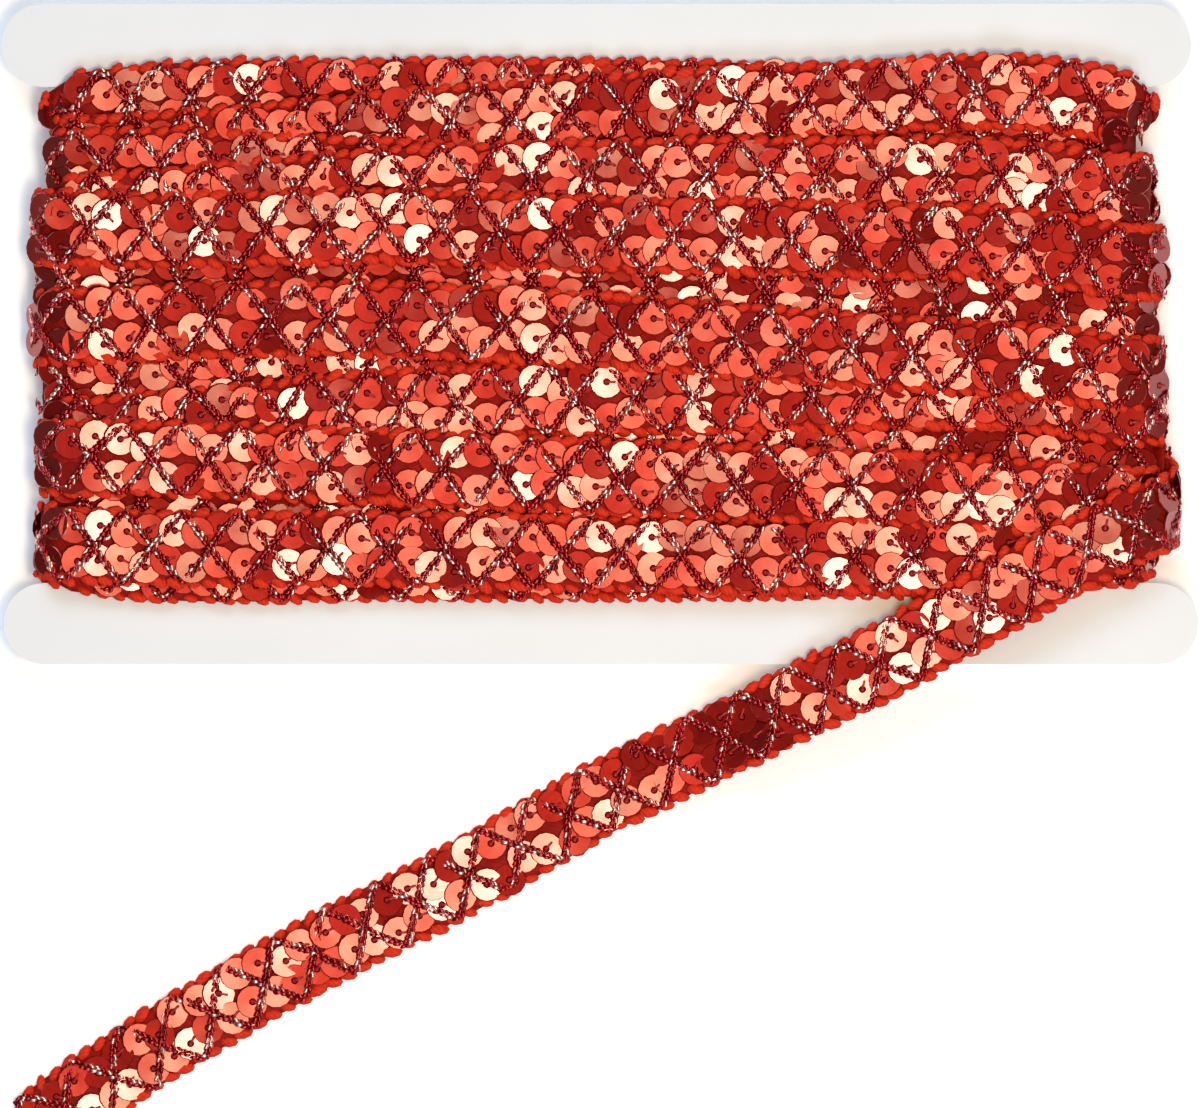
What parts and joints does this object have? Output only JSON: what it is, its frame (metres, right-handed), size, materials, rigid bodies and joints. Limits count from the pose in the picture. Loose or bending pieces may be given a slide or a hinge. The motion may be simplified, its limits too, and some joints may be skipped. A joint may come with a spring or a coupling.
{
  "type": "sequin trim on a card",
  "caption": "Red sequin trim wound in slanting, overlapping bands on a flat off-white card with long ears, with one loose end lying out beside it.",
  "frame": {"origin": "on the flat back of the winding, below the middle of the card", "axes": "+X along the card's ears, +Y from the lower ear to the upper one, +Z out of the front of the winding; the loose end leaves over the lower ear towards -Y"},
  "size_m": [0.215, 0.2081, 0.0134],
  "materials": {
    "paperboard": "matt off-white paperboard with faint creases",
    "trim": "orange-red braid covered with glossy red metallic sequins and chain stitch"
  },
  "bodies": {
    "root": {"card": "paperboard", "winding": "trim", "loose_end": "trim"}
  },
  "joints": []
}
